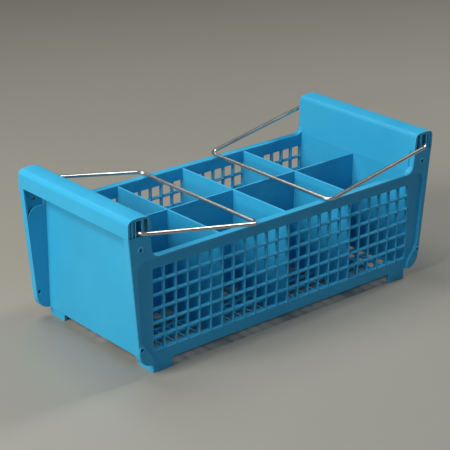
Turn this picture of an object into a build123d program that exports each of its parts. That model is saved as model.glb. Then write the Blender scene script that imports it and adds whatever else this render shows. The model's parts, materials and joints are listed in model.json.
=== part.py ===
from build123d import *
import os

# Wash basket with eight compartments and two swinging wire bails.
# Millimetres. +X runs along the basket, +Y to the rear, +Z up. The origin is at the centre of the
# rectangle that the four feet stand on.

# Overall sizes
length = 430.0
width = 188.0
rim_top = 174.8
rail_top = 129.0
base_z = 11.0

# Wall and sheet thicknesses
end_wall = 3.0
side_sheet = 4.6
side_recess = 3.4
divider_sheet = 2.2
floor_sheet = 2.5
edge_round = 0.7

# Perforated side panels: square holes in columns and rows
hole_pitch = 15.3
hole_size = 13.4
hole_columns = 24
hole_rows = 6
hole_bottom = 24.4
hole_flare = 0.45

# Top rail on each side, as deep as the recess and the sheet together
rail_thick = 2.5

# End walls: upright up to the rails, then leaning outward up to the rim
panel_inner = 184.2
lean = 0.09

# Hollow grip rim on top of each end
skirt_bottom = 154.6
rim_skin = 2.5
rim_shoulder = 6.0
rim_inner_round = 5.5
rim_crown = 1.8
rib_spans = ((195.2, 198.3), (204.9, 206.1), (208.6, 210.6))
bearing_setback = 10.0
bearing_length = 10.0
groove_depth = 2.0
groove_wall = 2.0

# Corner flanges: outline corners in the X-Z plane, on the +X side
flange_sheet = 5.0
flange_hole_x = 200.0
flange_hole_z = (32.3, 140.3)
flange_hole_r = 2.0
boss_r = 3.3
boss_height = 0.5
boss_root = 2.0
contour_step = 1.0
contour_round = 1.2
inner_fillet = 9.0
edge_slope = 0.0923
bottom_round = 17.0
lip_top = (204.8, rail_top - rail_thick)
lip_low = (199.3, 38.5)
lobe_low = (185.5, 19.0)
lip_corner_round = 12.0
lip_low_round = 14.0
lobe_round = 6.0
return_edge = 2.5
band_top = (210.8, 131.0)
band_low = (204.3, 46.0)
band_round = 12.0

# Dividers
divider_top = 127.5
lap_z = 70.0
lap_clearance = 0.05

# Floor holes
floor_rows = 5

# Feet
foot_outer = 183.5
foot_leg_x = 25.0
foot_leg_y = 25.6
foot_sheet = 3.5
foot_round = 0.8

# Wire bails
wire_r = 2.1
pivot_x = 201.6
pivot_z = 159.0
bail_gap = 2.4
bar_x = 51.0
pin_bend = 6.0
bar_bend = 8.0
pin_end = 70.0
pin_clearance = 0.05

# Worked out from the sizes above
half_length = length / 2
face_y = width / 2
panel_y = face_y - side_recess
inner_y = panel_y - side_sheet
rail_bottom = rail_top - rail_thick
panel_outer = panel_inner + end_wall
header_lean = lean * (skirt_bottom - rail_top)
header_outer = panel_outer + header_lean
floor_top = base_z + floor_sheet
flange_inner_low = panel_inner + contour_step
rail_end = flange_inner_low - inner_fillet
edge_low = half_length - edge_slope * (skirt_bottom - base_z)
cross_x = hole_pitch * hole_columns / 4
first_hole_x = -hole_pitch * (hole_columns - 1) / 2
bail_y = face_y + bail_gap + wire_r
bar_z = rail_top + wire_r


def slab_y(outline, low, high):
    """Stand an X-Z outline up and give it thickness from y = low to y = high."""
    plane = Plane(origin=(0, high, 0), x_dir=(1, 0, 0), z_dir=(0, -1, 0))
    return extrude(plane * outline, amount=high - low)


def block(low, high):
    """A box between two opposite corners."""
    size = [b - a for a, b in zip(low, high)]
    centre = [(a + b) / 2 for a, b in zip(low, high)]
    return Pos(*centre) * Box(*size)


def rounded(corners):
    """A closed outline from (point, radius) corners, with radius 0 for a sharp one."""
    face = make_face(Polyline(*[point for point, radius in corners], close=True))
    for point, radius in corners:
        if radius:
            corner = face.vertices().sort_by_distance((point[0], point[1], 0))[0]
            face = fillet(corner, radius)
    return face


def edges_on(part, axis, place):
    """The edges of a part that lie wholly in the plane axis = place."""
    return part.edges().filter_by_position(axis, place - 0.01, place + 0.01)


def flip_x(part):
    return mirror(part, about=Plane.YZ)


def flip_y(part):
    return mirror(part, about=Plane.XZ)


def side_panel():
    """Rear side panel: a recessed sheet that fills the flanges' inner contour."""
    right = [
        (lip_top, lip_corner_round),
        (lip_low, lip_low_round),
        (lobe_low, lobe_round),
        ((lobe_low[0], base_z), 0),
    ]
    left = [((-x, z), radius) for (x, z), radius in reversed(right)]
    sheet = slab_y(rounded(right + left), inner_y, panel_y)
    straight = Box(hole_size, side_sheet + 2, hole_size)
    mouth = Plane(origin=(0, side_sheet / 2, 0), x_dir=(1, 0, 0), z_dir=(0, -1, 0))
    wide = hole_size + 2 * hole_flare
    flare = extrude(mouth * Rectangle(wide, wide), amount=hole_flare, taper=45)
    hole = straight + flare
    middle_y = (inner_y + panel_y) / 2
    first_hole_z = hole_bottom + hole_size / 2
    places = [
        Pos(first_hole_x + column * hole_pitch, middle_y, first_hole_z + row * hole_pitch)
        for column in range(hole_columns)
        for row in range(hole_rows)
    ]
    return sheet - [place * hole for place in places]


def top_rail():
    """Rear top rail: a flat bar that covers the panel's upper edge."""
    rail = block((-rail_end, inner_y, rail_bottom), (rail_end, face_y, rail_top))
    outer_edges = edges_on(rail, Axis.Y, face_y).filter_by(Axis.X)
    rail = fillet(outer_edges, contour_round)
    inner_edges = edges_on(rail, Axis.Y, inner_y).filter_by(Axis.X)
    return fillet(inner_edges, edge_round)


def flange_outline():
    """Rear right flange's outline, from the rim down the outer edge and back up the inner contour."""
    corners = [
        ((flange_inner_low + header_lean, skirt_bottom), 0),
        ((half_length, skirt_bottom), 0),
        ((edge_low, base_z), bottom_round),
        ((lobe_low[0], base_z), 0),
        (lobe_low, lobe_round),
        (lip_low, lip_low_round),
        (lip_top, lip_corner_round),
        ((rail_end, rail_bottom), 0),
        ((rail_end, rail_top), 0),
        ((flange_inner_low, rail_top), inner_fillet),
    ]
    return rounded(corners)


def flange_hollow():
    """The hollow in a flange's back, above the thicker part that follows its contour."""
    inside = [
        ((header_outer, skirt_bottom), 0),
        ((half_length - return_edge, skirt_bottom), 0),
        ((edge_low - return_edge, base_z + return_edge), bottom_round - return_edge),
        ((lobe_low[0], base_z + return_edge), 0),
    ]
    band = [
        ((0, band_top[1]), 0),
        (band_top, band_round),
        (band_low, 0),
        ((half_length, base_z), 0),
        ((0, base_z), 0),
    ]
    return rounded(inside) - rounded(band)


def flange():
    """Rear right flange: the raised corner plate, hollowed from inside, with two fixing holes."""
    plate = slab_y(flange_outline(), inner_y, face_y)
    front_edges = edges_on(plate, Axis.Y, face_y)
    rail_joint = front_edges.sort_by(Axis.X)[0]
    plate = fillet([edge for edge in front_edges if edge != rail_joint], contour_round)
    plate -= slab_y(flange_hollow(), inner_y, face_y - flange_sheet)

    for z in flange_hole_z:
        centre = Pos(flange_hole_x, 0, z)
        drill = centre * Rot(X=90) * Cylinder(flange_hole_r, 4 * width)
        boss = Pos(flange_hole_x, face_y - boss_root / 2 + boss_height / 2, z) * Rot(X=90)
        plate += boss * Cylinder(boss_r, boss_root + boss_height)
        plate -= drill
    return plate


def end_panel():
    """Right end panel: the upright wall below the crease."""
    return block((panel_inner, -inner_y, base_z), (panel_outer, inner_y, rail_top))


def end_header():
    """Right end header: the same wall above the crease, leaning outward up to the rim."""
    outline = Polyline(
        (panel_inner, rail_top),
        (panel_outer, rail_top),
        (header_outer, skirt_bottom),
        (panel_inner + header_lean, skirt_bottom),
        close=True,
    )
    return slab_y(make_face(outline), -inner_y, inner_y)


def rim_section(inner_x, outer_x, top, shoulder, inner_round):
    """Rim cross-section: a leaning inner leg, an upright outer one and a crowned top."""
    shoulder_z = top - rim_crown
    inner_top = (inner_x + lean * (shoulder_z - skirt_bottom), shoulder_z)
    outer_top = (outer_x, shoulder_z)
    middle = ((inner_top[0] + outer_x) / 2, top)
    outline = Polyline(inner_top, (inner_x, skirt_bottom), (outer_x, skirt_bottom), outer_top)
    crown = ThreePointArc(outer_top, middle, inner_top)
    face = make_face(outline + crown)
    for corner, radius in ((outer_top, shoulder), (inner_top, inner_round)):
        vertex = face.vertices().sort_by_distance((corner[0], corner[1], 0))[0]
        face = fillet(vertex, radius)
    return face


def grip_rim():
    """Right grip rim: a hollow rim, open below, with ribs, wire bearings and grooved ends."""
    inner_low = panel_inner + header_lean
    outer = rim_section(inner_low, half_length, rim_top, rim_shoulder, rim_inner_round)
    inner = rim_section(
        header_outer,
        half_length - rim_skin,
        rim_top - rim_skin,
        rim_shoulder - rim_skin,
        rim_inner_round - rim_skin,
    )
    hollow = slab_y(inner, -face_y, face_y)
    rim = slab_y(outer, -face_y, face_y)
    crown_edges = [edge for side in (-face_y, face_y) for edge in edges_on(rim, Axis.Y, side)]
    rim = fillet([edge for edge in crown_edges if edge.center().Z > skirt_bottom + 1], edge_round)
    rim -= hollow
    for low, high in rib_spans:
        rib = block((low, -face_y, skirt_bottom), (high, face_y, rim_top))
        rim += rib & hollow
    slot_low = rib_spans[0][1]
    slot_high = rib_spans[1][0]
    webs = (
        (slot_low, slot_high, bearing_setback, bearing_length),
        (rib_spans[1][1], half_length, groove_depth, groove_wall),
    )
    for low, high, setback, thickness in webs:
        for side in (-1, 1):
            ends = sorted((side * (face_y - setback), side * (face_y - setback - thickness)))
            web = block((low, ends[0], skirt_bottom), (high, ends[1], rim_top))
            rim += web & hollow
    bore = Pos(pivot_x, 0, pivot_z) * Rot(X=90) * Cylinder(wire_r + pin_clearance, 4 * width)
    return rim - bore


def lengthwise_divider():
    """Central divider, slotted from its top edge for the three cross dividers."""
    half = divider_sheet / 2
    sheet = block((-panel_inner, -half, floor_top), (panel_inner, half, divider_top))
    gap = half + lap_clearance
    sheet = fillet(edges_on(sheet, Axis.Z, divider_top).filter_by(Axis.X), edge_round)
    for x in (-cross_x, 0, cross_x):
        sheet -= block((x - gap, -width, lap_z), (x + gap, width, rim_top))
    return sheet


def cross_divider(x):
    """Short divider at x, slotted from its bottom edge over the central one."""
    half = divider_sheet / 2
    sheet = block((x - half, -inner_y, floor_top), (x + half, inner_y, divider_top))
    sheet = fillet(edges_on(sheet, Axis.Z, divider_top).filter_by(Axis.Y), edge_round)
    gap = half + lap_clearance
    return sheet - block((x - length, -gap, base_z), (x + length, gap, lap_z))


def floor_grid():
    """Bottom sheet with a grid of drain holes in each compartment."""
    sheet = block((-panel_inner, -inner_y, base_z), (panel_inner, inner_y, floor_top))
    row_pitch = inner_y / floor_rows
    hole = Box(hole_size, hole_size, 4 * floor_sheet)
    places = [
        Pos(first_hole_x + column * hole_pitch, side * (row + 0.5) * row_pitch, base_z)
        for column in range(hole_columns)
        for row in range(floor_rows)
        for side in (-1, 1)
    ]
    return sheet - [place * hole for place in places]


def foot():
    """Rear right foot: an angle that follows the basket's corner."""
    outer = foot_outer
    outline = make_face(
        Polyline(
            (outer, panel_y),
            (outer - foot_leg_x, panel_y),
            (outer - foot_leg_x, panel_y - foot_sheet),
            (outer - foot_sheet, panel_y - foot_sheet),
            (outer - foot_sheet, panel_y - foot_leg_y),
            (outer, panel_y - foot_leg_y),
            close=True,
        )
    )
    angle = extrude(outline, amount=base_z)
    return fillet(edges_on(angle, Axis.Z, 0), foot_round)


def bail():
    """Right bail: one wire, its two ends turned in as hinge pins."""
    corners = [
        (pivot_x, -pin_end, pivot_z),
        (pivot_x, -bail_y, pivot_z),
        (bar_x, -bail_y, bar_z),
        (bar_x, bail_y, bar_z),
        (pivot_x, bail_y, pivot_z),
        (pivot_x, pin_end, pivot_z),
    ]
    path = FilletPolyline(*corners, radius=[pin_bend, bar_bend, bar_bend, pin_bend])
    start = Plane(origin=path @ 0, z_dir=path % 0)
    return sweep(start * Circle(wire_r), path=path)


nodes = {}
nodes["floor_grid"] = floor_grid()
nodes["rear_side_panel"] = side_panel()
nodes["front_side_panel"] = flip_y(nodes["rear_side_panel"])
nodes["rear_top_rail"] = top_rail()
nodes["front_top_rail"] = flip_y(nodes["rear_top_rail"])
for name, shape in (("flange", flange()), ("foot", foot())):
    nodes["rear_right_" + name] = shape
    nodes["rear_left_" + name] = flip_x(shape)
    nodes["front_right_" + name] = flip_y(shape)
    nodes["front_left_" + name] = Rot(Z=180) * shape
ends = {"end_panel": end_panel(), "end_header": end_header(), "grip_rim": grip_rim(), "bail": bail()}
for name, shape in ends.items():
    nodes["right_" + name] = shape
    nodes["left_" + name] = flip_x(shape)
nodes["lengthwise_divider"] = lengthwise_divider()
for name, x in (("left", -cross_x), ("middle", 0), ("right", cross_x)):
    nodes[name + "_cross_divider"] = cross_divider(x)

os.makedirs("parts", exist_ok=True)
for name, shape in nodes.items():
    export_step(shape, "parts/" + name + ".step")
    print(name, round(shape.volume, 1), shape.bounding_box())
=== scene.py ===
import json
import math

import bmesh
import bpy
from mathutils import Matrix, Vector
from mathutils.geometry import tessellate_polygon


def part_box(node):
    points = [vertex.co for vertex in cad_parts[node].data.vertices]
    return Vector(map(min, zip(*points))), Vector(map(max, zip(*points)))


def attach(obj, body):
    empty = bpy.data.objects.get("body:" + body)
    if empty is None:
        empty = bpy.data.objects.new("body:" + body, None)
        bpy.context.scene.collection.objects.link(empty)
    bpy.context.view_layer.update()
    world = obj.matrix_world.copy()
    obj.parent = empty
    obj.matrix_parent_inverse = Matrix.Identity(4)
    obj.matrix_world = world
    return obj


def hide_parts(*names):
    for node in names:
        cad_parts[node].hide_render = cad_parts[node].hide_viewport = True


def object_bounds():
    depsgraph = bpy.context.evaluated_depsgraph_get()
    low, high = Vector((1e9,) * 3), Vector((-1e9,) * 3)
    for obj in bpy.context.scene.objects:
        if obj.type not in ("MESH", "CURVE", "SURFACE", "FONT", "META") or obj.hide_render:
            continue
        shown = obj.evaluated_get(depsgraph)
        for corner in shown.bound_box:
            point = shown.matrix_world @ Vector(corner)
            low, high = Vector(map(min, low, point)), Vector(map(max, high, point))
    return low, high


# The looks of the wash basket: moulded pieces with rounded edges, two drawn steel wires, a pale
# floor and soft studio light. Metres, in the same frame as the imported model.

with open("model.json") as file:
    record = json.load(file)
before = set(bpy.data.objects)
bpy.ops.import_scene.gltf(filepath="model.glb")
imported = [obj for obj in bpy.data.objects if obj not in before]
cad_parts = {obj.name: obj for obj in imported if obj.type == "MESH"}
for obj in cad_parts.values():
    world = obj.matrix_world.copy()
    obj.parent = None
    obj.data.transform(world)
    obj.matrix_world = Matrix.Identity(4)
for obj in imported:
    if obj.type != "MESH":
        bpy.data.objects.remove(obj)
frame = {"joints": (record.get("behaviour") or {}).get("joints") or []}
cad_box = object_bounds()

MM = 0.001

# Roundings of the moulding's edges, and how finely roundings and arcs are divided
EDGE = 0.5 * MM
DIVIDER_EDGE = 0.7 * MM
FACE_EDGE = 1.2 * MM
RIB_EDGE = 0.35 * MM
EDGE_STEPS = 4
ARC_TURN = math.radians(11)
CIRCLE_SIDES = 24
SHARP_ANGLE = math.radians(35)
ON_JOINT = 1e-6
NEARLY_STRAIGHT = 0.01

# How far a piece runs into its neighbour, and a gap too small to see that parts two faces
SUNK = 1.0 * MM
HAIR = 0.02 * MM

# The grid of square holes
HOLE_PITCH = 15.3 * MM
HOLE_SIZE = 13.4 * MM
HOLE_COLUMNS = 24
HOLE_ROWS = 6
HOLE_BOTTOM = 24.4 * MM
HOLE_CORNER = 0.9 * MM
FLOOR_ROWS = 5

# Corner flanges: fixing holes, slopes and sheets, with corners as x, z, radius in millimetres.
# LIP is the inner contour, and BAND the edge of the thicker part behind the face sheet.
FIXING_X = 200.0 * MM
FIXING_Z = (32.3 * MM, 140.3 * MM)
FIXING_R = 2.0 * MM
BOSS_R = 3.3 * MM
BOSS_HEIGHT = 0.5 * MM
CONTOUR_STEP = 1.0 * MM
INNER_FILLET = 9.0 * MM
EDGE_SLOPE = 0.0923
BOTTOM_ROUND = 17.0 * MM
LIP = ((204.8, 126.5, 12.0), (199.3, 38.5, 14.0), (185.5, 19.0, 6.0))
FLANGE_SHEET = 5.0 * MM
RETURN_EDGE = 2.5 * MM
BAND = ((210.8, 131.0, 12.0), (204.3, 46.0, 0.0))

# Grip rims: skin, crown and roundings, and where each part inside starts and ends. RIBS are the
# lengthwise ribs, in millimetres. WEB bears the wire's pin, and GROOVE_WALL closes the groove.
RIM_SKIN = 2.5 * MM
RIM_CROWN = 1.8 * MM
RIM_SHOULDER = 6.0 * MM
RIM_INNER_ROUND = 5.5 * MM
RIM_PEAK = 2.6 * MM
RIB_ROOT = 0.6 * MM
RIBS = ((195.2, 198.3), (204.9, 206.1), (208.6, 210.6))
WEB = (74.0 * MM, 84.0 * MM)
GROOVE_WALL = (90.0 * MM, 92.0 * MM)

# Feet
FOOT_LEG_X = 25.0 * MM
FOOT_LEG_Y = 25.6 * MM
FOOT_SHEET = 3.5 * MM
FOOT_EDGE = 0.8 * MM

# Wire bails: bends at the pins and at the bar, and how far a pin's tip runs past its web
PIN_BEND = 6.0 * MM
BAR_BEND = 8.0 * MM
PIN_PAST_WEB = 4.0 * MM
BEND_TURN = math.radians(6)
WIRE_SIDES = 24

# Blue moulding. Scales are noise cycles per metre, and depths are those of the relief.
BLUE_DEEP = (0.032, 0.385, 0.635, 1)
BLUE_LIGHT = (0.041, 0.425, 0.685, 1)
# The lighter blue laid on the edges: partly rubbed wear, partly painted highlight.
BLUE_WORN_AND_HIGHLIT = (0.17, 0.62, 0.88, 1)
FLOW_SCALE = 16.0
SPECK_SCALE = 1100.0
SPECK_SHARE = 0.12
# How strongly the edges get that lighter blue (wear and painted highlight), over what rounding and
# facing, and how far from the rim's seam it stays off.
EDGE_WEAR_AND_HIGHLIGHT = 0.8
WEAR_AND_HIGHLIGHT_RADIUS = 1.3 * MM
UNWORN_UNHIGHLIT_FACING = 0.98
WORN_AND_HIGHLIT_FACING = 0.8
SEAM_REACH = 1.6 * MM
SCUFF_SCALE = (60.0, 60.0, 900.0)
SCUFF_SHARE = 0.35
PATCH_SCALE = 45.0
GLOSSIEST_BLUE = 0.34
DULLEST_BLUE = 0.5
GRAIN_SCALE = 1500.0
GRAIN_STRENGTH = 0.25
GRAIN_DEPTH = 0.06 * MM
SINK_SCALE = 26.0
SINK_STRENGTH = 0.3
SINK_DEPTH = 0.6 * MM
PLASTIC_IOR = 1.49
PLASTIC_SPECULAR = 0.3

# Drawn steel
STEEL_DARK = (0.56, 0.53, 0.49, 1)
STEEL_LIGHT = (0.70, 0.68, 0.65, 1)
DRAWN_SCALE = (30.0, 2600.0, 1.0)
DRAWN_STRENGTH = 0.2
DRAWN_DEPTH = 0.05 * MM
TARNISH_SCALE = 90.0
GLOSSIEST_STEEL = 0.26
DULLEST_STEEL = 0.44

# Studio floor
PAPER_DARK = (0.279, 0.263, 0.222, 1)
PAPER_LIGHT = (0.301, 0.285, 0.242, 1)
PAPER_ROUGHNESS = 0.55
MOTTLE_SCALE = 3.0
FLOOR_HALF = 8.0
FLOOR_CELLS = 8

# Lights: name, place from the basket's middle, size, watts and colour
WHITE = (1.0, 1.0, 1.0)
SKY_BLUE = (0.15, 0.55, 1.0)
LIGHTS = (
    ("key", (-1.45, 0.0, 0.9), (0.8, 0.8), 27.5, WHITE),
    ("fill", (1.6, -0.15, 1.3), (0.35, 0.35), 19.5, WHITE),
    ("overhead", (-0.2, 0.75, 1.7), (1.0, 1.0), 15.0, WHITE),
    ("front", (-0.3, -1.7, 0.9), (1.2, 0.8), 4.4, SKY_BLUE),
)
WORLD_STRENGTH = 0.035

# Camera
CAMERA_AZIMUTH = math.radians(-40.86)
CAMERA_ELEVATION = math.radians(22.26)
CAMERA_ROLL = math.radians(0.44)
CAMERA_DISTANCE = 1.6539
CAMERA_TARGET = Vector((-0.01133, 0.0, 0.08794))
CAMERA_LENS = 120.51
CAMERA_SENSOR = 36.0

# Places read from the frame
panel_low, panel_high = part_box("rear_side_panel")
rail_low, rail_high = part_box("rear_top_rail")
end_low, end_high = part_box("right_end_panel")
header_low, header_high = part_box("right_end_header")
rim_low, rim_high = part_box("right_grip_rim")
divider_low, divider_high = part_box("lengthwise_divider")
floor_low, floor_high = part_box("floor_grid")
foot_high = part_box("rear_right_foot")[1]
half_length = rim_high.x
skirt_z = rim_low.z
base_z = floor_low.z
header_lean = header_high.x - end_high.x


def at(corners):
    """Corners given in millimetres, as metres."""
    return [tuple(value * MM for value in corner) for corner in corners]


def outline(corners):
    """A closed outline from (u, v, radius) corners, each rounded by an arc."""
    points = []
    for index, (u, v, radius) in enumerate(corners):
        corner = Vector((u, v))
        if radius == 0:
            points.append(corner)
            continue
        after = corners[(index + 1) % len(corners)]
        back = (Vector(corners[index - 1][:2]) - corner).normalized()
        ahead = (Vector(after[:2]) - corner).normalized()
        half = back.angle(ahead) / 2
        centre = corner + (back + ahead).normalized() * radius / math.sin(half)
        spoke = corner + back * radius / math.tan(half) - centre
        turn = math.copysign(math.pi - 2 * half, -back.cross(ahead))
        steps = max(2, math.ceil(abs(turn) / ARC_TURN))
        turns = [turn * k / steps for k in range(steps + 1)]
        points += [centre + Matrix.Rotation(t, 2) @ spoke for t in turns]
    return points


def rectangle(u0, v0, u1, v1, radius=0.0):
    return outline([(u0, v0, radius), (u1, v0, radius), (u1, v1, radius), (u0, v1, radius)])


def full_turn(sides):
    return [2 * math.pi * k / sides for k in range(sides)]


def circle(u, v, radius):
    turns = full_turn(CIRCLE_SIDES)
    return [Vector((u + radius * math.cos(t), v + radius * math.sin(t))) for t in turns]


def area(loop):
    return sum(a.cross(b) for a, b in zip(loop, loop[1:] + loop[:1])) / 2


def inset(loop, depth, flat):
    """The loop moved to its left by depth, with mitred corners. Its flat edges stay in place."""
    moved = []
    for index, point in enumerate(loop):
        normals = []
        depths = []
        for start, stop in ((loop[index - 1], point), (point, loop[(index + 1) % len(loop)])):
            along = (stop - start).normalized()
            normals.append(Vector((-along.y, along.x)))
            depths.append(0 if flat(start, stop) else depth)
        (n0, n1), (d0, d1) = normals, depths
        twist = n0.cross(n1)
        if abs(twist) < NEARLY_STRAIGHT:
            shift = (n0 + n1) * (d0 + d1) / 4
        else:
            shift = Vector((d0 * n1.y - d1 * n0.y, d1 * n0.x - d0 * n1.x)) / twist
        moved.append(point + shift)
    return moved


def standing(axis, depth, point):
    """A point of an outline, at a depth along the axis that the outline faces."""
    u, v = point
    return {"x": (depth, u, v), "y": (u, depth, v), "z": (u, v, depth)}[axis]


def add_plate(mesh, loops, low, high, axis, edge=EDGE, joints=()):
    """Adds a sheet with an outline and holes, from low to high along an axis, with rounded edges.
    An outline's edges on a joint, an (index, value) line, stay square to meet the next piece."""

    def flat(start, stop):
        return any(
            abs(start[i] - value) < ON_JOINT and abs(stop[i] - value) < ON_JOINT
            for i, value in joints
        )

    sorted_loops = []
    for index, loop in enumerate(loops):
        clockwise = area(loop) < 0
        sorted_loops.append(loop[::-1] if clockwise == (index == 0) else loop)
    quarter = [math.pi / 2 * k / EDGE_STEPS for k in range(EDGE_STEPS + 1)]
    rounds = [(edge * (1 - math.sin(t)), edge * (1 - math.cos(t))) for t in quarter]
    levels = [(depth, high - drop) for depth, drop in rounds]
    levels += [(depth, low + drop) for depth, drop in reversed(rounds)]
    rings = []
    for depth, height in levels:
        ring = []
        for loop in sorted_loops:
            points = inset(loop, depth, flat)
            ring.append([mesh.verts.new(standing(axis, height, point)) for point in points])
        rings.append(ring)
    for upper, lower in zip(rings, rings[1:]):
        for above, below in zip(upper, lower):
            for index in range(len(above)):
                after = (index + 1) % len(above)
                mesh.faces.new((above[index], above[after], below[after], below[index]))
    for ring in (rings[0], rings[-1]):
        corners = [corner for loop in ring for corner in loop]
        for triangle in tessellate_polygon([[corner.co for corner in loop] for loop in ring]):
            mesh.faces.new([corners[index] for index in triangle])


def piece(name, mesh, material, body, replaced):
    """Makes a mesh into a named piece that rides on a body and stands for its CAD nodes."""
    bmesh.ops.recalc_face_normals(mesh, faces=mesh.faces)
    data = bpy.data.meshes.new(name)
    mesh.to_mesh(data)
    mesh.free()
    data.shade_smooth()
    data.set_sharp_from_angle(angle=SHARP_ANGLE)
    data.materials.append(material)
    made = bpy.data.objects.new(name, data)
    bpy.context.scene.collection.objects.link(made)
    weighted = made.modifiers.new("even_faces", "WEIGHTED_NORMAL")
    weighted.keep_sharp = True
    weighted.weight = 100
    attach(made, body)
    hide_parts(*replaced)


def mirrored(mesh, x, y):
    """Turns a right rear mesh into one on another side, x and y being 1 or -1."""
    for vertex in mesh.verts:
        vertex.co.x *= x
        vertex.co.y *= y
    return mesh


SIDES = {"rear": 1, "front": -1}
ENDS = {"right": 1, "left": -1}


# Materials


def node_maker(material):
    """Gives make("Type", settings, inputs), which adds a node and returns it. An input named _0 is
    found by its number, and one whose value is a socket is linked."""
    tree = material.node_tree

    def make(kind, settings=None, **inputs):
        node = tree.nodes.new("ShaderNode" + kind)
        for key, value in (settings or {}).items():
            setattr(node, key, value)
        for key, value in inputs.items():
            place = int(key[1:]) if key[0] == "_" else key.replace("_", " ")
            socket = node.inputs[place]
            if isinstance(value, bpy.types.NodeSocket):
                tree.links.new(value, socket)
            else:
                socket.default_value = value
        return node

    return make


def new_material(name):
    material = bpy.data.materials.new(name)
    material.use_nodes = True
    shader = material.node_tree.nodes["Principled BSDF"]
    return material, shader, node_maker(material)


def link(material, source, target):
    material.node_tree.links.new(source, target)


def moulding_material(name, wear_and_highlight):
    """Blue polypropylene: fine moulded grain, faint flow marks, edges lightened partly as rubbed
    wear and partly as a painted highlight, and light scuffs.
    """
    material, shader, make = new_material(name)
    place = make("TexCoord").outputs["Object"]
    flow = make(
        "TexNoise", Vector=place, Scale=FLOW_SCALE, Detail=3.0, Roughness=0.5
    ).outputs["Fac"]
    speck = make("TexNoise", Vector=place, Scale=SPECK_SCALE, Detail=2.0).outputs["Fac"]
    shifted = make("MapRange", Value=flow, From_Min=0.3, From_Max=0.7, To_Min=0.0, To_Max=1.0)
    base = make("Mix", {"data_type": "RGBA"}, _0=shifted.outputs[0])
    base.inputs[6].default_value = BLUE_DEEP
    base.inputs[7].default_value = BLUE_LIGHT
    grainy = make("Mix", {"data_type": "RGBA", "blend_type": "MULTIPLY"}, _0=SPECK_SHARE)
    link(material, base.outputs[2], grainy.inputs[6])
    link(material, speck, grainy.inputs[7])

    # Edges are lightened where the rounded normal turns away from the face: partly rubbed wear,
    # partly painted highlight. None of it near the rim's seam.
    rounded = make("Bevel", {"samples": 4}, Radius=WEAR_AND_HIGHLIGHT_RADIUS).outputs["Normal"]
    true_normal = make("NewGeometry").outputs["Normal"]
    facing = make("VectorMath", {"operation": "DOT_PRODUCT"}, _0=rounded, _1=true_normal)
    worn_and_highlit = make(
        "MapRange",
        Value=facing.outputs["Value"],
        From_Min=UNWORN_UNHIGHLIT_FACING,
        From_Max=WORN_AND_HIGHLIT_FACING,
        To_Min=0.0,
        To_Max=1.0,
    ).outputs[0]
    height = make("SeparateXYZ", Vector=place).outputs["Z"]
    near_seam = make("Math", {"operation": "COMPARE"}, _0=height, _1=skirt_z, _2=SEAM_REACH)
    seam = near_seam.outputs[0]
    wear_and_highlight_off_seam = make("MapRange", Value=seam, To_Min=wear_and_highlight, To_Max=0.0).outputs[0]
    rubbing_and_highlight = make("Math", {"operation": "MULTIPLY"}, _0=worn_and_highlit, _1=wear_and_highlight_off_seam).outputs[0]
    rubbed_and_highlit = make("Mix", {"data_type": "RGBA"}, _0=rubbing_and_highlight)
    link(material, grainy.outputs[2], rubbed_and_highlit.inputs[6])
    rubbed_and_highlit.inputs[7].default_value = BLUE_WORN_AND_HIGHLIT
    link(material, rubbed_and_highlit.outputs[2], shader.inputs["Base Color"])

    stretched = make("Mapping", Vector=place, Scale=SCUFF_SCALE).outputs[0]
    scuffs = make(
        "TexNoise", Vector=stretched, Scale=1.0, Detail=4.0, Roughness=0.6
    ).outputs["Fac"]
    patches = make("TexNoise", Vector=place, Scale=PATCH_SCALE, Detail=4.0).outputs["Fac"]
    mixed = make("Math", {"operation": "MULTIPLY_ADD"}, _0=scuffs, _1=SCUFF_SHARE, _2=patches)
    rough = make(
        "MapRange",
        Value=mixed.outputs[0],
        From_Min=0.45,
        From_Max=0.9,
        To_Min=GLOSSIEST_BLUE,
        To_Max=DULLEST_BLUE,
    ).outputs[0]
    link(material, rough, shader.inputs["Roughness"])

    grain = make("TexNoise", Vector=place, Scale=GRAIN_SCALE, Detail=3.0).outputs["Fac"]
    fine = make("Bump", Strength=GRAIN_STRENGTH, Distance=GRAIN_DEPTH, Height=grain)
    waves = make("TexNoise", Vector=place, Scale=SINK_SCALE, Detail=1.0).outputs["Fac"]
    sinks = make("Bump", Strength=SINK_STRENGTH, Distance=SINK_DEPTH, Height=waves)
    link(material, fine.outputs["Normal"], sinks.inputs["Normal"])
    link(material, sinks.outputs["Normal"], shader.inputs["Normal"])
    shader.inputs["IOR"].default_value = PLASTIC_IOR
    shader.inputs["Specular IOR Level"].default_value = PLASTIC_SPECULAR
    return material


def wire_material():
    """Drawn stainless wire: fine lines along its length, small changes of gloss."""
    material, shader, make = new_material("drawn_steel")
    place = make("TexCoord").outputs["UV"]
    lines = make("Mapping", Vector=place, Scale=DRAWN_SCALE).outputs[0]
    drawn = make("TexNoise", Vector=lines, Scale=1.0, Detail=3.0, Roughness=0.6).outputs["Fac"]
    solid = make("TexCoord").outputs["Object"]
    tarnish = make("TexNoise", Vector=solid, Scale=TARNISH_SCALE, Detail=3.0).outputs["Fac"]
    tone = make("Mix", {"data_type": "RGBA"}, _0=tarnish)
    tone.inputs[6].default_value = STEEL_DARK
    tone.inputs[7].default_value = STEEL_LIGHT
    link(material, tone.outputs[2], shader.inputs["Base Color"])
    rough = make(
        "MapRange",
        Value=drawn,
        From_Min=0.3,
        From_Max=0.75,
        To_Min=GLOSSIEST_STEEL,
        To_Max=DULLEST_STEEL,
    ).outputs[0]
    link(material, rough, shader.inputs["Roughness"])
    relief = make("Bump", Strength=DRAWN_STRENGTH, Distance=DRAWN_DEPTH, Height=drawn)
    link(material, relief.outputs["Normal"], shader.inputs["Normal"])
    shader.inputs["Metallic"].default_value = 1.0
    return material


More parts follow.
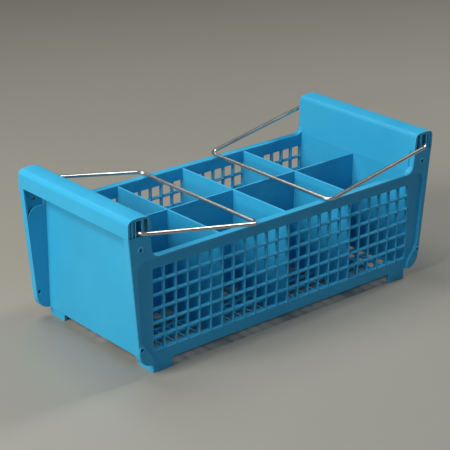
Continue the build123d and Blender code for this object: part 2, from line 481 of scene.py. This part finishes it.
def floor_material():
    """Matt pale grey paper with a faint mottle."""
    material, shader, make = new_material("studio_paper")
    place = make("TexCoord").outputs["Object"]
    mottle = make("TexNoise", Vector=place, Scale=MOTTLE_SCALE, Detail=5.0).outputs["Fac"]
    tone = make("Mix", {"data_type": "RGBA"}, _0=mottle)
    tone.inputs[6].default_value = PAPER_DARK
    tone.inputs[7].default_value = PAPER_LIGHT
    link(material, tone.outputs[2], shader.inputs["Base Color"])
    shader.inputs["Roughness"].default_value = PAPER_ROUGHNESS
    return material


# The main moulding gets edges lightened by wear and painted highlight; the end walls' moulding
# gets none.
moulding = moulding_material("blue_polypropylene", EDGE_WEAR_AND_HIGHLIGHT)
plain_moulding = moulding_material("blue_polypropylene_walls", 0.0)
steel = wire_material()


def moulded(name, mesh, *replaced, material=moulding):
    piece(name, mesh, material, "basket", replaced)


# Side panels, with their grid of square holes


def hole(u, v):
    half = HOLE_SIZE / 2
    return rectangle(u - half, v - half, u + half, v + half, HOLE_CORNER)


def hole_columns():
    return [(column - (HOLE_COLUMNS - 1) / 2) * HOLE_PITCH for column in range(HOLE_COLUMNS)]


def side_panel(side, y):
    """Fills the flanges' inner contour, and runs a little way into them and into the rail."""
    lip, low_lip, lobe = at(LIP)
    right = [(lip[0] + SUNK, lip[1] + SUNK, lip[2])]
    right += [(x + SUNK, z, radius) for x, z, radius in (low_lip, lobe)]
    right += [(right[-1][0], base_z, 0.0)]
    left = [(-x, z, radius) for x, z, radius in reversed(right)]
    rows = [HOLE_BOTTOM + HOLE_SIZE / 2 + row * HOLE_PITCH for row in range(HOLE_ROWS)]
    holes = [hole(u, v) for u in hole_columns() for v in rows]
    mesh = bmesh.new()
    add_plate(mesh, [outline(right + left)] + holes, panel_low.y, panel_high.y, "y")
    moulded(side + "_side_panel_moulded", mirrored(mesh, 1, y), side + "_side_panel")


def top_rail(side, y):
    mesh = bmesh.new()
    loop = rectangle(rail_low.x, rail_low.z, rail_high.x, rail_high.z)
    joints = ((0, rail_low.x), (0, rail_high.x))
    add_plate(mesh, [loop], rail_low.y, rail_high.y, "y", FACE_EDGE, joints)
    moulded(side + "_top_rail_moulded", mirrored(mesh, 1, y), side + "_top_rail")


def upper_hollow():
    """The hollow's outline behind a flange, from the rim to where the thicker part closes it."""
    top, low = at(BAND)
    shoulder = outline([(header_high.x, top[1], 0.0), top, low])[:-1]

    def edge_x(z):
        return half_length - RETURN_EDGE - EDGE_SLOPE * (skirt_z - z)

    bottom = [(u, v, 0.0) for u, v in shoulder if edge_x(v) - u > 2 * RIB_EDGE]
    last_z = bottom[-1][1]
    return [
        (header_high.x, skirt_z, 0.0),
        *bottom,
        (edge_x(last_z), last_z, 0.0),
        (edge_x(skirt_z), skirt_z, 0.0),
    ]


def flange(side, end, y, x):
    """A face sheet, and behind it a thicker part that leaves a hollow below the rim."""
    rail_end = rail_high.x
    contour_x = end_low.x + CONTOUR_STEP
    foot_x = half_length - EDGE_SLOPE * (skirt_z - base_z)
    lip, low_lip, lobe = at(LIP)
    top = (contour_x + header_lean, skirt_z, 0.0)
    rest = [
        (half_length, skirt_z, 0.0),
        (foot_x, base_z, BOTTOM_ROUND),
        (lobe[0], base_z, 0.0),
        lobe,
        low_lip,
        lip,
        (rail_end, rail_low.z, 0.0),
        (rail_end, rail_high.z, 0.0),
        (contour_x, rail_high.z, INNER_FILLET),
    ]
    holes = [circle(FIXING_X, z, FIXING_R) for z in FIXING_Z]
    joints = ((0, rail_end), (1, skirt_z))
    back = rail_high.y - FLANGE_SHEET
    mesh = bmesh.new()
    add_plate(mesh, [outline([top] + rest)] + holes, back, rail_high.y, "y", FACE_EDGE, joints)
    behind = [outline([top] + upper_hollow() + rest), circle(FIXING_X, FIXING_Z[0], FIXING_R)]
    add_plate(mesh, behind, rail_low.y + HAIR, back + SUNK, "y", RIB_EDGE, joints)
    for z in FIXING_Z:
        ring = [circle(FIXING_X, z, BOSS_R), circle(FIXING_X, z, FIXING_R)]
        add_plate(mesh, ring, rail_high.y - SUNK, rail_high.y + BOSS_HEIGHT, "y", RIB_EDGE)
    name = side + "_" + end + "_flange"
    moulded(name + "_moulded", mirrored(mesh, x, y), name)


def end_panel(end, x):
    mesh = bmesh.new()
    reach = panel_low.y + SUNK
    loop = rectangle(-reach, end_low.z, reach, end_high.z)
    add_plate(mesh, [loop], end_low.x, end_high.x, "x", RIB_EDGE)
    name = end + "_end_panel"
    moulded(name + "_moulded", mirrored(mesh, x, 1), name, material=plain_moulding)


def end_header(end, x):
    """Leans outward above the crease, up to the rim's inner leg."""
    mesh = bmesh.new()
    reach = panel_low.y + SUNK
    corners = [
        (end_low.x, header_low.z, 0.0),
        (end_high.x, header_low.z, 0.0),
        (header_high.x, skirt_z, 0.0),
        (rim_low.x, skirt_z, 0.0),
    ]
    add_plate(mesh, [outline(corners)], -reach, reach, "y", RIB_EDGE, ((1, skirt_z),))
    name = end + "_end_header"
    moulded(name + "_moulded", mirrored(mesh, x, 1), name, material=plain_moulding)


def rim_comb():
    """The rim's section: a crowned shell with ribs that hang from it, as one outline."""
    high = rim_high.x
    lean = header_lean / (skirt_z - end_high.z)
    shoulder_z = rim_high.z - RIM_CROWN
    ceiling = rim_high.z - RIM_SKIN - RIM_CROWN / 2
    hem = skirt_z + HAIR
    corners = [
        (rim_low.x, skirt_z, 0.0),
        (header_high.x, skirt_z, 0.0),
        (header_high.x + lean * (ceiling - skirt_z), ceiling, RIB_ROOT),
    ]
    for start, stop in at(RIBS):
        corners += [(start, ceiling, RIB_ROOT), (start, hem, 0.0)]
        corners += [(stop, hem, 0.0), (stop, ceiling, RIB_ROOT)]
    inner_x = rim_low.x + lean * (shoulder_z - skirt_z)
    half = (high - inner_x) / 2
    slope = math.atan2(RIM_PEAK, half)
    crown_radius = (RIM_PEAK - RIM_CROWN) / (1 / math.cos(slope) - 1)
    return corners + [
        (high - RIM_SKIN, ceiling, RIB_ROOT),
        (high - RIM_SKIN, hem, 0.0),
        (high, hem, 0.0),
        (high, shoulder_z, RIM_SHOULDER),
        (inner_x + half, shoulder_z + RIM_PEAK, crown_radius),
        (inner_x, shoulder_z, RIM_INNER_ROUND),
    ]


def grip_rim(end, x):
    mesh = bmesh.new()
    add_plate(mesh, [outline(rim_comb())], rim_low.y, rim_high.y, "y", RIB_EDGE, ((1, skirt_z),))
    bearing = (RIBS[0][1] * MM - RIB_EDGE, RIBS[1][0] * MM + RIB_EDGE)
    grooves = (RIBS[1][1] * MM - RIB_EDGE, half_length - RIM_SKIN + RIB_EDGE)
    bottom = skirt_z + RIB_EDGE
    top = rim_high.z - RIM_SKIN - RIM_CROWN / 2 + RIB_EDGE
    for (start, stop), (low, high) in ((bearing, WEB), (grooves, GROOVE_WALL)):
        web = rectangle(start, bottom, stop, top)
        add_plate(mesh, [web], low, high, "y", RIB_EDGE)
        add_plate(mesh, [web], -high, -low, "y", RIB_EDGE)
    moulded(end + "_grip_rim_moulded", mirrored(mesh, x, 1), end + "_grip_rim")


def lengthwise_divider():
    mesh = bmesh.new()
    loop = rectangle(divider_low.x - SUNK, base_z + SUNK, divider_high.x + SUNK, divider_high.z)
    add_plate(mesh, [loop], divider_low.y, divider_high.y, "y", DIVIDER_EDGE)
    moulded("lengthwise_divider_moulded", mesh, "lengthwise_divider")


def cross_divider(name):
    low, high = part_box(name)
    mesh = bmesh.new()
    reach = high.y + SUNK
    loop = rectangle(-reach, base_z + SUNK, reach, high.z)
    add_plate(mesh, [loop], low.x, high.x, "x", DIVIDER_EDGE)
    moulded(name + "_moulded", mesh, name)


def floor_grid():
    pitch = panel_low.y / FLOOR_ROWS
    rows = [side * (row + 0.5) * pitch for row in range(FLOOR_ROWS) for side in (-1, 1)]
    holes = [hole(u, v) for u in hole_columns() for v in rows]
    mesh = bmesh.new()
    reach_x = end_low.x + SUNK
    reach_y = panel_low.y + SUNK
    loop = rectangle(-reach_x, -reach_y, reach_x, reach_y)
    add_plate(mesh, [loop] + holes, floor_low.z, floor_high.z, "z")
    moulded("floor_grid_moulded", mesh, "floor_grid")


def foot(side, end, y, x):
    out_x = foot_high.x
    out_y = foot_high.y
    corners = [
        (out_x, out_y, FOOT_EDGE),
        (out_x - FOOT_LEG_X, out_y, FOOT_EDGE),
        (out_x - FOOT_LEG_X, out_y - FOOT_SHEET, FOOT_EDGE),
        (out_x - FOOT_SHEET, out_y - FOOT_SHEET, FOOT_EDGE),
        (out_x - FOOT_SHEET, out_y - FOOT_LEG_Y, FOOT_EDGE),
        (out_x, out_y - FOOT_LEG_Y, FOOT_EDGE),
    ]
    mesh = bmesh.new()
    add_plate(mesh, [outline(corners)], 0.0, base_z + SUNK, "z", EDGE)
    name = side + "_" + end + "_foot"
    moulded(name + "_moulded", mirrored(mesh, x, y), name)


def bent_path(corners, radii):
    """Points along straight runs joined by tangent arcs."""
    points = [corners[0]]
    for before, corner, after, radius in zip(corners, corners[1:], corners[2:], radii):
        back = (before - corner).normalized()
        ahead = (after - corner).normalized()
        half = back.angle(ahead) / 2
        centre = corner + (back + ahead).normalized() * radius / math.sin(half)
        spoke = corner + back * radius / math.tan(half) - centre
        axis = ahead.cross(back)
        turn = math.pi - 2 * half
        steps = math.ceil(turn / BEND_TURN)
        turns = [turn * k / steps for k in range(steps + 1)]
        points += [centre + Matrix.Rotation(t, 3, axis) @ spoke for t in turns]
    return points + [corners[-1]]


def tube(mesh, path, radius):
    """A round wire along a path, with a UV map in metres: along its length, then around it."""
    layer = mesh.loops.layers.uv.new("UVMap")
    side = Vector((0, 0, 1))
    turns = full_turn(WIRE_SIDES)
    rings = []
    travelled = 0.0
    lengths = []
    for index, point in enumerate(path):
        ahead = path[min(index + 1, len(path) - 1)] - path[max(index - 1, 0)]
        along = ahead.normalized()
        side = (side - along * side.dot(along)).normalized()
        other = along.cross(side)
        if index:
            travelled += (point - path[index - 1]).length
        lengths.append(travelled)
        spokes = [(side * math.cos(t) + other * math.sin(t)) * radius for t in turns]
        rings.append([mesh.verts.new(point + spoke) for spoke in spokes])
    for index, (near, far) in enumerate(zip(rings, rings[1:])):
        for k in range(WIRE_SIDES):
            after = (k + 1) % WIRE_SIDES
            face = mesh.faces.new((near[k], near[after], far[after], far[k]))
            places = ((index, k), (index, k + 1), (index + 1, k + 1), (index + 1, k))
            for corner, (row, turn) in zip(face.loops, places):
                corner[layer].uv = (lengths[row], turn / WIRE_SIDES * 2 * math.pi * radius)
    mesh.faces.new(rings[0][::-1])
    mesh.faces.new(rings[-1])


def bail(end, x):
    low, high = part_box(end + "_bail")
    joint = next(j for j in frame["joints"] if j["child"] == end + "_handle")
    pivot = Vector(joint["pos_m"])
    near_x, far_x = (low.x, high.x) if x > 0 else (-high.x, -low.x)
    pivot_x = abs(pivot.x)
    radius = far_x - pivot_x
    arm_y = high.y - radius
    bar_x = near_x + radius
    bar_z = low.z + radius
    pin = WEB[0] - PIN_PAST_WEB
    corners = [
        Vector((pivot_x, -pin, pivot.z)),
        Vector((pivot_x, -arm_y, pivot.z)),
        Vector((bar_x, -arm_y, bar_z)),
        Vector((bar_x, arm_y, bar_z)),
        Vector((pivot_x, arm_y, pivot.z)),
        Vector((pivot_x, pin, pivot.z)),
    ]
    mesh = bmesh.new()
    tube(mesh, bent_path(corners, (PIN_BEND, BAR_BEND, BAR_BEND, PIN_BEND)), radius)
    mirrored(mesh, x, 1)
    piece(end + "_bail_wire", mesh, steel, end + "_handle", [end + "_bail"])


for side, y in SIDES.items():
    side_panel(side, y)
    top_rail(side, y)
    for end, x in ENDS.items():
        flange(side, end, y, x)
        foot(side, end, y, x)
for end, x in ENDS.items():
    end_panel(end, x)
    end_header(end, x)
    grip_rim(end, x)
    bail(end, x)
lengthwise_divider()
for name in ("left_cross_divider", "middle_cross_divider", "right_cross_divider"):
    cross_divider(name)
floor_grid()


# Floor, light and camera


def studio_floor():
    mesh = bmesh.new()
    bmesh.ops.create_grid(mesh, x_segments=FLOOR_CELLS, y_segments=FLOOR_CELLS, size=FLOOR_HALF)
    data = bpy.data.meshes.new("studio_floor")
    mesh.to_mesh(data)
    mesh.free()
    data.materials.append(floor_material())
    floor = bpy.data.objects.new("studio_floor", data)
    bpy.context.scene.collection.objects.link(floor)


def area_light(name, place, target, size, power, colour):
    light = bpy.data.lights.new(name, "AREA")
    light.shape = "RECTANGLE"
    light.size, light.size_y = size
    light.energy = power
    light.color = colour
    made = bpy.data.objects.new(name, light)
    made.location = place
    made.rotation_euler = (target - place).to_track_quat("-Z", "Y").to_euler()
    bpy.context.scene.collection.objects.link(made)


def studio_light(middle):
    for name, offset, size, power, colour in LIGHTS:
        area_light(name, middle + Vector(offset), middle, size, power, colour)
    world = bpy.data.worlds.new("studio")
    world.use_nodes = True
    background = world.node_tree.nodes["Background"]
    background.inputs["Color"].default_value = (*WHITE, 1)
    background.inputs["Strength"].default_value = WORLD_STRENGTH
    bpy.context.scene.world = world
    bpy.context.scene.view_settings.view_transform = "Standard"


def photo_camera():
    """Looks from the front left, above the rim, through a long lens."""
    level = math.cos(CAMERA_ELEVATION)
    back_x = math.sin(CAMERA_AZIMUTH) * level
    back_y = -math.cos(CAMERA_AZIMUTH) * level
    back = Vector((back_x, back_y, math.sin(CAMERA_ELEVATION)))
    data = bpy.data.cameras.new("photo_camera")
    data.sensor_width = CAMERA_SENSOR
    data.lens = CAMERA_LENS
    camera = bpy.data.objects.new("photo_camera", data)
    facing = back.to_track_quat("Z", "Y") @ Matrix.Rotation(CAMERA_ROLL, 3, "Z").to_quaternion()
    camera.rotation_euler = facing.to_euler()
    camera.location = CAMERA_TARGET + back * CAMERA_DISTANCE
    bpy.context.scene.collection.objects.link(camera)
    bpy.context.scene.camera = camera


middle = (cad_box[0] + cad_box[1]) / 2
studio_floor()
studio_light(middle)
photo_camera()
